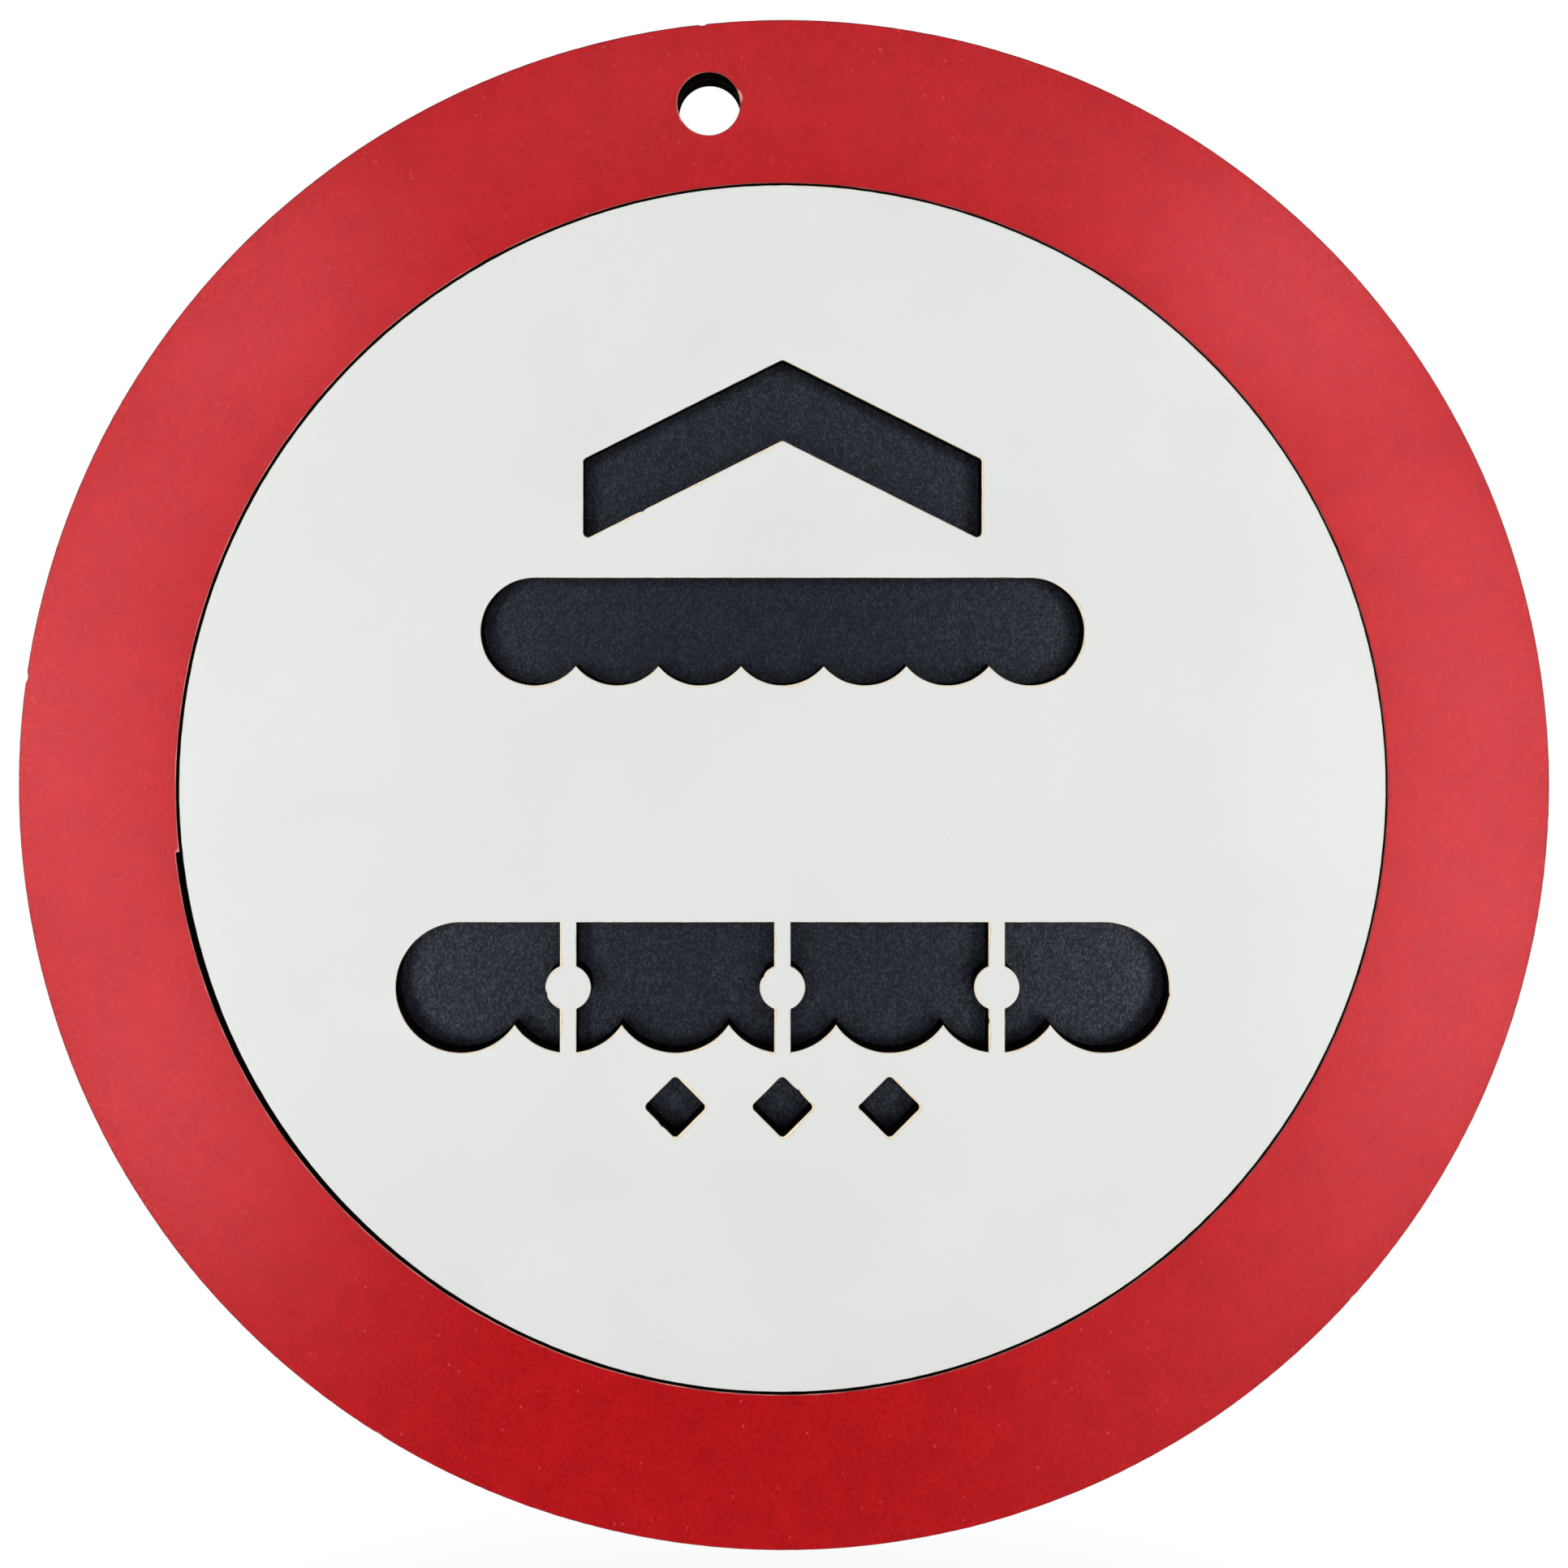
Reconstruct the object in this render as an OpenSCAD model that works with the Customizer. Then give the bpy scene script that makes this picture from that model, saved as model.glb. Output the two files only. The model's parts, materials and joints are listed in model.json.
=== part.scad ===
// Round hanging sign of laser-cut board, in millimetres.
// A black backing board carries a red ring and, inside the ring, a white panel of the same sheet.
// The panel is a stencil: its cut-outs go right through and show the black board behind.
// The sign hangs upright, with +Z up. It faces -Y, and its back lies in the plane y = 0.

/* [Boards] */
// Outside diameter of the sign
sign_d = 200; // [170:1:300]
// Thickness of the black backing board
backing_t = 3; // [2:0.5:6]
// Thickness of the sheet that the ring and the panel are cut from
face_t = 3; // [2:0.5:6]

/* [Red ring] */
// Width of the ring, from the sign's rim to the opening
ring_w = 20.85; // [16:0.05:30]
// How far the opening was cut to the left of the sign's middle
opening_left = 0.3; // [0:0.1:1]
// How far the opening was cut below the sign's middle
opening_down = 0.5; // [0:0.1:1]
// How far the sheet had slipped by the last stretch of the cut
slip = 0.6; // [0.1:0.1:1]
// Direction of the slip, in degrees anticlockwise from the right
slip_direction = 150; // [140:1:160]
// Where the cut met its start in a step, in degrees anticlockwise from the right
slip_angle = 186; // [180:0.5:200]

/* [Hanging hole] */
// Diameter of the hole, which goes through both layers in the middle of the ring's width
hole_d = 8.2; // [3:0.1:12]
// Turn of the hole away from the top, towards the left seen from the front
hole_turn = 6.3; // [0:0.1:20]

/* [White panel] */
// Gap between the panel and the opening, all round
panel_gap = 0.3; // [0.2:0.05:1]
// How far the panel was glued to the right of the opening's middle
panel_right = 0.1; // [0:0.05:0.1]
// How far the panel was glued above the opening's middle
panel_up = 0.05; // [0:0.05:0.1]
// Corner radius of the straight-sided cut-outs
corner_r = 0.6; // [0.3:0.1:1]

/* [Upper group of cut-outs] */
// Height of the upper bar's middle above the panel's middle
upper_z = 20.5; // [17:0.5:24]
// Height of the upper bar
upper_h = 14; // [12:0.5:16]
// Distance from one scallop of the upper bar to the next
upper_pitch = 10.8; // [9:0.1:12]
// Number of scallops of the upper bar
upper_scallops = 7; // [3:1:7]
// Width of the chevron above the bar
chevron_w = 52; // [40:1:60]
// Upright height of the chevron's arms
chevron_arm = 10.5; // [8:0.5:12]
// Rise from the chevron's feet to its peak
chevron_rise = 13; // [8:0.5:14]
// Clear distance between the upper bar and the chevron's feet
chevron_gap = 5; // [3:0.5:7]

/* [Lower group of cut-outs] */
// Depth of the lower bar's middle below the panel's middle
lower_z = 26; // [23:0.5:28]
// Height of the lower bar
lower_h = 17; // [14:0.5:19]
// Distance from one scallop of the lower bar to the next
lower_pitch = 14; // [12:0.1:14.5]
// Number of scallops of the lower bar
lower_scallops = 7; // [5:2:7]
// Distance from one bridge of the lower bar to the next
bridge_pitch = 28; // [22:0.5:30]
// Width of the upright bridges that tie the islands to the panel
bridge_w = 2.2; // [1.6:0.1:3]
// Diameter of the round islands half way up the bridges
island_d = 6; // [4:0.1:8]
// Side of a diamond below the bar
diamond_side = 5.8; // [4:0.1:7]
// Distance from one diamond to the next
diamond_pitch = 14; // [12:0.5:18]
// Clear distance between the lower bar and the diamonds
diamond_gap = 3; // [1.5:0.1:4]

/* [Hidden] */
$fn = 96;
// Reach of a cutting tool past the face that it leaves
over = 1;
// Distance from the sign's middle to the middle of the hanging hole
hole_reach = (sign_d - ring_w) / 2;
opening_d = sign_d - 2 * ring_w;
opening_x = -opening_left;
opening_z = -opening_down;
// The slipped circle leaves the true one a quarter of a turn from the direction of the slip
slip_start = slip_direction + 90;
panel_d = opening_d - 2 * panel_gap;
panel_x = opening_x + panel_right;
panel_z = opening_z + panel_up;
// Straight steps that each rounded corner is drawn with
corner_steps = 6;
// Distance from a diamond's middle to its tips
diamond_reach = diamond_side / sqrt(2);

// Cuts a flat outline, drawn as seen from the front, out of sheet of thickness t.
// The sheet's back lies at the distance t0 in front of the plane y = 0.
module sheet(t0, t) {
    translate([0, -t0, 0])
        rotate([90, 0, 0])
            linear_extrude(t)
                children();
}

// The hole that the sign hangs by, drilled through both layers in one go.
module hanging_hole() {
    rotate([0, -hole_turn, 0])
        translate([0, over, hole_reach])
            rotate([90, 0, 0])
                cylinder(h = backing_t + face_t + 2 * over, d = hole_d);
}

// The ring's opening: a full circle, and beside it the last stretch of the cut, which ran on a
// circle that had slipped up and to the left. It leaves the true circle at the lower left and
// ends in the step.
module opening() {
    circle(d = opening_d);
    intersection() {
        translate(slip * [cos(slip_direction), sin(slip_direction)])
            circle(d = opening_d);
        polygon([
            [0, 0],
            opening_d * [cos(slip_angle), sin(slip_angle)],
            opening_d * [cos(slip_start), sin(slip_start)]
        ]);
    }
}

// Direction from point a to point b.
function toward(a, b) = (b - a) / norm(b - a);

// Points along the round of radius r in corner b of the outline a, b, c. The round's middle lies
// on the corner's bisector, and its points turn from one touching point to the other.
function corner_round(a, b, c, r) =
    let (half = acos(toward(b, a) * toward(b, c)) / 2)
    let (bisector = toward(b, a) + toward(b, c))
    let (middle = b + r / sin(half) * bisector / norm(bisector))
    let (start = b + r / tan(half) * toward(b, a) - middle)
    let (end = b + r / tan(half) * toward(b, c) - middle)
    let (sweep = 180 - 2 * half)
    [for (k = [0 : corner_steps])
        let (done = k / corner_steps * sweep)
        middle + (sin(sweep - done) * start + sin(done) * end) / sin(sweep)];

// An outline with every corner rounded, the outer corners and the inner ones alike.
module rounded_outline(points, r) {
    n = len(points);
    polygon([
        for (i = [0 : n - 1])
            each corner_round(points[(i + n - 1) % n], points[i], points[(i + 1) % n], r)
    ]);
}

// A wide roof-shaped stripe with upright ends.
module chevron() {
    half_w = chevron_w / 2;
    rounded_outline([
        [-half_w, 0],
        [0, chevron_rise],
        [half_w, 0],
        [half_w, chevron_arm],
        [0, chevron_rise + chevron_arm],
        [-half_w, chevron_arm]
    ], corner_r);
}

// A square standing on its tip.
module diamond() {
    rounded_outline([
        [diamond_reach, 0],
        [0, diamond_reach],
        [-diamond_reach, 0],
        [0, -diamond_reach]
    ], corner_r);
}

// A bar of height h with a straight upper edge and a lower edge of round scallops: a row of
// overlapping discs, filled up to their tops. The outer two discs make the round ends.
module scalloped_bar(h, pitch, count) {
    run = (count - 1) * pitch;
    translate([-run / 2, 0])
        square([run, h / 2]);
    for (side = [-1, 1])
        translate([side * run / 2, 0])
            circle(d = h);
    intersection() {
        for (i = [1 : count - 2])
            translate([i * pitch - run / 2, 0])
                circle(d = h);
        translate([-run / 2, -h])
            square([run, h]);
    }
}

// An upright bridge across a bar of height h, with a round island half way up.
module bridge(h) {
    circle(d = island_d);
    square([bridge_w, h + 2 * over], center = true);
}

module upper_cut_outs() {
    translate([0, upper_z])
        scalloped_bar(upper_h, upper_pitch, upper_scallops);
    translate([0, upper_z + upper_h / 2 + chevron_gap])
        chevron();
}

module lower_cut_outs() {
    translate([0, -lower_z])
        difference() {
            scalloped_bar(lower_h, lower_pitch, lower_scallops);
            for (i = [-1 : 1])
                translate([i * bridge_pitch, 0])
                    bridge(lower_h);
        }
    translate([0, -lower_z - lower_h / 2 - diamond_gap - diamond_reach])
        for (i = [-1 : 1])
            translate([i * diamond_pitch, 0])
                diamond();
}

module backing_board() {
    color([0.10, 0.10, 0.12])
        difference() {
            sheet(0, backing_t)
                circle(d = sign_d);
            hanging_hole();
        }
}

module red_ring() {
    color([0.76, 0.12, 0.15])
        difference() {
            sheet(backing_t, face_t)
                difference() {
                    circle(d = sign_d);
                    translate([opening_x, opening_z])
                        opening();
                }
            hanging_hole();
        }
}

module white_panel() {
    color([0.90, 0.91, 0.89])
        translate([panel_x, 0, panel_z])
            sheet(backing_t, face_t)
                difference() {
                    circle(d = panel_d);
                    upper_cut_outs();
                    lower_cut_outs();
                }
}

backing_board();
red_ring();
white_panel();
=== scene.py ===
# %% [markdown]
# # A laser-cut hanging sign
#
# The real sign is three pieces of thin fibreboard, cut by a laser and glued together: a black disc
# at the back, a red ring on it, and a white disc inside the ring. The white disc is a stencil, so
# the black board shows through its cut-outs.
#
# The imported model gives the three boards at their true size. Here each of them gets what makes it
# look real: edges that the laser has rounded, chipped and browned, and facings with their own grain.
# All lengths are in metres, and the sign faces -Y.

import json
import math

import bpy
import numpy as np
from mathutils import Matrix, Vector
from mathutils.geometry import delaunay_2d_cdt


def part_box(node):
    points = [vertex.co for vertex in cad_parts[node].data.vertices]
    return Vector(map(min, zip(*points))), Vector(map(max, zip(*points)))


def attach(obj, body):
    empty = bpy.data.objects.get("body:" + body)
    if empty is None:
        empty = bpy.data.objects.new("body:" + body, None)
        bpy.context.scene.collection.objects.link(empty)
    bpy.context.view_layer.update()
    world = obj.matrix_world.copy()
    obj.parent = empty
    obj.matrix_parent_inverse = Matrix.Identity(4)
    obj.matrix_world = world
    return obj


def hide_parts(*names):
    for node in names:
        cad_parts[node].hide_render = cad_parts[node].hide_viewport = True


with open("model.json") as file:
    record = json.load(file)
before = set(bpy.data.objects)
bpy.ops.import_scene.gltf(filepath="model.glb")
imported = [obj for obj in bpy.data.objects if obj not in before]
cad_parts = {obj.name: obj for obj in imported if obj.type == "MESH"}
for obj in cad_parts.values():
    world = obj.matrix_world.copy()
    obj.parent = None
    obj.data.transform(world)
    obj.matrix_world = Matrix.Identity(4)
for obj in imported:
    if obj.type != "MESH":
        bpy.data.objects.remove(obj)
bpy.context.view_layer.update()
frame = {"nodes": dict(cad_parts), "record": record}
mm = 0.001
print("boards in the frame:", sorted(frame["nodes"]))

# %% [markdown]
# ## Sizes
#
# The frame knows how large the three boards are and where they lie, so the disc sizes, the thicknesses
# and the hanging hole are read from it. The cut-outs are smaller than a board, so their sizes are
# written here as they stand on the drawing.


# %% Sizes that the frame gives
def disc_of(node):
    """Middle (x, z) and radius of a round board, from its box."""
    low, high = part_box(node)
    middle = np.array([low.x + high.x, low.z + high.z]) / 2
    return middle, (high.x - low.x) / 2


board_middle, board_radius = disc_of("backing_board")
panel_middle, panel_radius = disc_of("white_panel")
back_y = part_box("backing_board")[1].y
glue_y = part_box("backing_board")[0].y
front_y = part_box("white_panel")[0].y
hole_mount = next(m for m in frame["record"]["mounts"] if m["name"] == "hanging_hole")
hole_middle = np.array([hole_mount["pos_m"][0], hole_mount["pos_m"][2]])
hole_radius = hole_mount["dims"]["r_mm"] * mm
print(f"sign {2 * board_radius / mm:.1f} mm, panel {2 * panel_radius / mm:.1f} mm, "
      f"hole {2 * hole_radius / mm:.1f} mm, front at y = {front_y / mm:.1f} mm")

# %% Sizes of the cut-outs
panel_gap = 0.30 * mm
opening_middle = panel_middle - np.array([0.1, 0.05]) * mm
opening_radius = panel_radius + panel_gap
slip = 0.6 * mm
slip_direction = 150
slip_angle = 186
corner_radius = 0.6 * mm
scallops = 7
upper_bar = {"middle": 20.5 * mm, "height": 14 * mm, "pitch": 10.8 * mm, "bridges": []}
lower_bar = {"middle": -26 * mm, "height": 17 * mm, "pitch": 14 * mm,
             "bridges": [-28 * mm, 0.0, 28 * mm]}
bridge_width = 2.2 * mm
island_radius = 3 * mm
chevron_width, chevron_arm, chevron_rise, chevron_gap = 52 * mm, 10.5 * mm, 13 * mm, 5 * mm
diamond_side, diamond_pitch, diamond_gap = 5.8 * mm, 14 * mm, 3 * mm
print("opening in the ring:", round(2 * opening_radius / mm, 2), "mm")

# %% [markdown]
# ## Outlines
#
# A board is a flat shape with a thickness, so each one starts as outlines in the X-Z plane. Blender
# could trace them as curves, but a few formulas place every point exactly and keep the points evenly
# spaced, which the edges need later. An outline is a list of stretches, and each stretch leaves out
# its last point, because the next one starts there. Outer edges run anticlockwise as seen from the
# front and holes run clockwise, so the board always lies to the left.

# %% Straight and round stretches
step = 0.4 * mm
least_points = 6


def line(start, end):
    """Points start + (end - start) t, for t from 0 up to 1, with 1 left out."""
    start, end = np.array(start, float), np.array(end, float)
    count = max(1, round(np.linalg.norm(end - start) / step))
    return start + (end - start) * np.arange(count)[:, None] / count


def arc(middle, radius, first, last):
    """Points middle + radius (cos a, sin a), for a from first to last in degrees, last left out."""
    count = max(least_points, round(radius * math.radians(abs(last - first)) / step))
    a = np.radians(first + (last - first) * np.arange(count) / count)
    return np.array(middle) + radius * np.column_stack((np.cos(a), np.sin(a)))


print("a full turn round the hanging hole:", len(arc(hole_middle, hole_radius, 0, 360)), "points")


# %% Outlines with rounded corners
def toward(vector):
    """The same direction with length 1."""
    return vector / np.linalg.norm(vector)


def rounded(corners, radius):
    """Each corner becomes an arc that touches both of its sides. The arc's middle lies on the corner's
    bisector at radius / sin(half the corner), and it turns by 180 degrees less the corner."""
    corners = np.array(corners, float)
    arcs, starts, ends = [], [], []
    for before, corner, after in zip(np.roll(corners, 1, 0), corners, np.roll(corners, -1, 0)):
        back, ahead = toward(before - corner), toward(after - corner)
        half = math.acos(back @ ahead) / 2
        middle = corner + radius / math.sin(half) * toward(back + ahead)
        starts.append(corner + radius / math.tan(half) * back)
        ends.append(corner + radius / math.tan(half) * ahead)
        turn = math.copysign(180 - math.degrees(2 * half), ahead[1] * -back[0] + ahead[0] * back[1])
        first = math.degrees(math.atan2(*(starts[-1] - middle)[::-1]))
        arcs.append(arc(middle, radius, first, first + turn))
    straights = [line(end, start) for end, start in zip(ends, starts[1:] + starts[:1])]
    return np.vstack([part for pair in zip(arcs, straights) for part in pair])


def chevron():
    """A wide roof-shaped stripe with upright ends, standing above the upper bar."""
    half = chevron_width / 2
    feet = upper_bar["middle"] + upper_bar["height"] / 2 + chevron_gap
    top = feet + chevron_arm
    return rounded([(-half, feet), (0, feet + chevron_rise), (half, feet),
                    (half, top), (0, top + chevron_rise), (-half, top)], corner_radius)


def diamonds():
    """Three squares on their tips in a row below the lower bar."""
    reach = diamond_side / math.sqrt(2)
    z = lower_bar["middle"] - lower_bar["height"] / 2 - diamond_gap - reach
    return [rounded([(x + reach, z), (x, z + reach), (x - reach, z), (x, z - reach)], corner_radius)
            for x in (-diamond_pitch, 0, diamond_pitch)]


print("chevron:", len(chevron()), "points; a diamond:", len(diamonds()[0]), "points")

# %% [markdown]
# The two bars have a scalloped lower edge, like a row of coins side by side. The lower bar is crossed
# by three bridges, which hold the round islands in a stencil. So the bar is built as cells: each cell
# runs along the scallops, up one side, back along the top and down the other side.


# %% Scalloped bars
def scallop_z(x, bar):
    """Height of the lower edge at x: -sqrt(r² - d²), where d is how far x is from the nearest disc."""
    d = x - bar["pitch"] * np.round(x / bar["pitch"])
    return -np.sqrt((bar["height"] / 2) ** 2 - d ** 2)


def lower_edge(first, last, bar):
    """The scalloped edge from x = first to x = last, with a point on every cusp between two discs."""
    cusps = (np.arange(scallops - 1) + 1 - scallops / 2) * bar["pitch"]
    knots = [first, *cusps[(cusps > first) & (cusps < last)], last]
    x = np.concatenate([line((a, 0), (b, 0))[:, 0] for a, b in zip(knots, knots[1:])])
    return np.column_stack((x, scallop_z(x, bar)))


def island_side(bridge, side, bar):
    """One side of a bridge from its foot to its top. It follows the bridge's straight flank, then the
    island's arc, which starts where cos(angle) = half the bridge's width / the island's radius."""
    x = bridge + side * bridge_width / 2
    lift = math.sqrt(island_radius ** 2 - (bridge_width / 2) ** 2)
    lean = math.degrees(math.acos(bridge_width / 2 / island_radius))
    middle = 90 - side * 90
    return np.vstack([line((x, scallop_z(x, bar)), (x, -lift)),
                      arc((bridge, 0), island_radius, middle - side * lean, middle + side * lean),
                      line((x, lift), (x, bar["height"] / 2)),
                      [(x, bar["height"] / 2)]])


def bar_cells(bar):
    """One closed outline for each cell between two bridges, or between a bridge and a round end."""
    reach = (scallops - 1) / 2 * bar["pitch"]
    radius = bar["height"] / 2
    cells = []
    for left, right in zip([None, *bar["bridges"]], [*bar["bridges"], None]):
        if left is None:
            first = -reach
            left_side = arc((first, 0), radius, 90, 270)
        else:
            first = left + bridge_width / 2
            left_side = island_side(left, 1, bar)[::-1][:-1]
        if right is None:
            last = reach
            right_side = arc((last, 0), radius, -90, 90)
        else:
            last = right - bridge_width / 2
            right_side = island_side(right, -1, bar)[:-1]
        cells.append(np.vstack([lower_edge(first, last, bar), right_side,
                                line((last, radius), (first, radius)), left_side]) + (0, bar["middle"]))
    return cells


print("cells of the bars:", len(bar_cells(upper_bar)), "and", len(bar_cells(lower_bar)))

# %% [markdown]
# The ring's opening was not cut true: the sheet slipped a little during the last stretch, so the cut
# met its own start in a small step. In polar form this is one radius for most of the turn, and for
# the last stretch the radius of a circle that has moved up and to the left.


# %% The ring's opening
def ring_opening():
    """Radius R, and for the slipped stretch s cos b + sqrt(R² - s² sin² b), where s is the slip and b
    the angle from its direction. The stretch ends where b is a right angle."""
    start = slip_direction + 90
    per_degree = math.radians(opening_radius) / step
    true_count, slipped_count = (round(per_degree * (360 + slip_angle - start)),
                                 round(per_degree * (start - slip_angle)))
    true_cut = np.radians(np.linspace(start, 360 + slip_angle, true_count))
    slipped_cut = np.radians(np.linspace(slip_angle, start, slipped_count, endpoint=False))
    b = slipped_cut - math.radians(slip_direction)
    slipped_radius = slip * np.cos(b) + np.sqrt(opening_radius ** 2 - (slip * np.sin(b)) ** 2)
    a = np.concatenate((true_cut, slipped_cut))
    radius = np.concatenate((np.full(len(true_cut), opening_radius), slipped_radius))
    return opening_middle + radius[:, None] * np.column_stack((np.cos(a), np.sin(a)))


def circle(middle, radius):
    """A full circle."""
    return arc(middle, radius, 0, 360)


hole = circle(hole_middle, hole_radius)[::-1]
board_outlines = [circle(board_middle, board_radius), hole]
ring_outlines = [circle(board_middle, board_radius), ring_opening()[::-1], hole]
stencil = [chevron(), *bar_cells(upper_bar), *bar_cells(lower_bar), *diamonds()]
panel_outlines = [circle(panel_middle, panel_radius)] + [cut[::-1] + panel_middle for cut in stencil]
print("outlines of the panel:", len(panel_outlines), "with",
      sum(map(len, panel_outlines)), "points")

# %% [markdown]
# ## Edges
#
# A laser leaves a wall that wanders by a few hundredths of a millimetre, and it softens the facing
# where it breaks through. In places the facing flakes off. A Bevel modifier would give every edge the
# same round, so the edge is a small profile that is carried along the outline instead, and its width
# and depth change from point to point.

# %% Along an outline
round_width = 0.10 * mm
round_drop = 0.07 * mm
wander = 0.015 * mm
back_round = 0.05 * mm


def lengths_along(outline):
    """Distance along the closed outline from its first point to each point, and back to the first."""
    return np.append(0, np.cumsum(np.linalg.norm(np.roll(outline, -1, 0) - outline, axis=1)))


def into_board(outline):
    """Direction into the board at each point: the sum of the two neighbouring edges' left-hand normals
    over 1 + their dot product, so that both edges move by the same distance."""
    ahead = np.roll(outline, -1, 0) - outline
    ahead /= np.linalg.norm(ahead, axis=1, keepdims=True)
    normal = np.column_stack((-ahead[:, 1], ahead[:, 0]))
    before = np.roll(normal, 1, 0)
    return (normal + before) / np.maximum(1 + (normal * before).sum(1), 0.5)[:, None]


def ripple(outline, wavelength, draws):
    """A smooth pattern from about -1 to 1 along an outline: a sum of sine waves, each with a whole
    number of periods round the outline and a phase drawn at random."""
    s = lengths_along(outline)
    waves = 8
    most = max(2, s[-1] / wavelength)
    periods = np.maximum(1, np.round(most * draws.uniform(0.35, 1, waves)))
    turns = s[:-1, None] / s[-1] * periods + draws.uniform(0, 1, waves)
    return np.sin(2 * math.pi * turns).sum(1) / math.sqrt(waves / 2) / 1.6


draws = np.random.default_rng(4)
print("ripple of the hanging hole's edge, from", ripple(hole, 3 * mm, draws).min().round(2),
      "to", ripple(hole, 3 * mm, draws).max().round(2))

# %% [markdown]
# The damage has places of its own: a flake beside the hanging hole, another at the step in the ring's
# opening, a long thin sliver off the top of the white disc, and the small bites where each cut began
# and ended. A bite goes through the whole thickness, and a flake takes only the facing.


# %% Flakes and bites
def flake(x, z, length, width, drop=0.05 * mm, bite=0.0, pale=1.0):
    """One spot of damage on an edge near (x, z)."""
    return {"place": np.array([x, z]), "length": length, "width": width, "drop": drop,
            "bite": bite, "pale": pale}


def on_circle(middle, radius, angle):
    """The point of a circle at that angle in degrees."""
    return middle + radius * np.array([math.cos(math.radians(angle)), math.sin(math.radians(angle))])


def reach_of(spot, outline):
    """How far the damage reaches each point of an outline: exp(-(d / half its length)^4)."""
    d = np.linalg.norm(outline - spot["place"], axis=1)
    return np.exp(-(d / (spot["length"] / 2)) ** 4)


def start_of_cut(outline, share, depth=0.14 * mm):
    """The bite that the beam left where a cut began, at that share of the outline's points."""
    x, z = outline[int(share * len(outline))]
    return flake(x, z, 0.7 * mm, 0.05 * mm, 0.02 * mm, depth, 0.4)


ring_flakes = [
    flake(*on_circle(hole_middle, hole_radius, 14), 1.7 * mm, 0.30 * mm, 0.10 * mm),
    flake(*on_circle(opening_middle, opening_radius, slip_angle), 0.8 * mm, 0.22 * mm, 0.12 * mm),
    flake(*on_circle(opening_middle, opening_radius, 205), 0.9 * mm, 0.08 * mm),
    flake(*on_circle(board_middle, board_radius, 96.1), 0.8 * mm, 0.04 * mm, 0.04 * mm, 0.16 * mm, 0.1),
    flake(*on_circle(board_middle, board_radius, 171.9), 1.0 * mm, 0.06 * mm, 0.05 * mm, 0.18 * mm, 0.2),
    flake(*on_circle(board_middle, board_radius, 238), 1.2 * mm, 0.14 * mm, 0.06 * mm, 0.0, 0.7),
    flake(*on_circle(board_middle, board_radius, 318), 0.9 * mm, 0.12 * mm, 0.05 * mm, 0.0, 0.6),
]
sliver = flake(*(panel_middle + (3.6 * mm, panel_radius)), 7.4 * mm, 0.02 * mm, 0.01 * mm, 0.0, 0.3)
panel_flakes = [
    sliver,
    *[start_of_cut(outline, share) for outline, share in zip(panel_outlines[1:],
      (0.93, 0.60, 0.70, 0.58, 0.66, 0.64, 0.31, 0.82, 0.45))],
]
board_flakes = [
    flake(*on_circle(board_middle, board_radius, 292), 1.4 * mm, 0.25 * mm, 0.10 * mm, 0.0, 0.5),
    flake(*on_circle(board_middle, board_radius, 27), 1.0 * mm, 0.18 * mm, 0.08 * mm, 0.0, 0.4),
]
print("spots of damage:", len(ring_flakes), "on the ring,", len(panel_flakes), "on the panel")


# %% The edge's profile
WALL_ROWS = 3


def edge_rows(outline, back, front, flakes, draws):
    """Rows of (x, y, z) from the back of the wall to the front face, how far each row lies from the
    cut, and how far each point has flaked. The wall wanders into the board. The front round is a
    quarter of an ellipse: inset w (1 - cos q) and depth h (1 - sin q). Where it has flaked wider, the
    distance from the cut is counted in the usual round's width, so that the bare core covers it."""
    inward = into_board(outline)
    width = round_width * (1 + 0.3 * ripple(outline, 2.5 * mm, draws))
    drop = round_drop * (1 + 0.3 * ripple(outline, 1.8 * mm, draws))
    inset = wander * (1 + 0.6 * ripple(outline, 14 * mm, draws) + 0.35 * ripple(outline, 2 * mm, draws))
    pale = np.zeros(len(outline))
    for spot in flakes:
        reach = reach_of(spot, outline)
        width += spot["width"] * reach
        drop += spot["drop"] * reach
        inset += spot["bite"] * reach
        pale = np.maximum(pale, spot["pale"] * reach)
    inset = np.maximum(inset, 0)
    middle = (front + back) / 2
    y_of_wall = np.array([back, back - back_round, middle])[:, None] + 0 * inset
    q = np.radians([0, 35, 65, 90])[:, None]
    from_wall = np.vstack((np.zeros_like(y_of_wall), width * (1 - np.cos(q))))
    from_wall[0] += back_round
    y = np.vstack((y_of_wall, front + drop * (1 - np.sin(q))))
    flat = outline + (inset + from_wall)[..., None] * inward
    return np.dstack((flat[..., 0], y, flat[..., 1])), from_wall * round_width / width, pale


print("rows in the edge's profile:", len(edge_rows(hole, glue_y, front_y, [], draws)[0]))

# %% [markdown]
# ## Faces
#
# The front of a board is flat, but its finish changes close to a cut: the facing is scorched there,
# or its pale core shows. The material has to know how far it is from the nearest cut, so the face gets
# points in bands beside each outline and a loose grid elsewhere, and every point stores its distance.
# Delaunay's method then joins them into even triangles that keep to the outlines.


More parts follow.
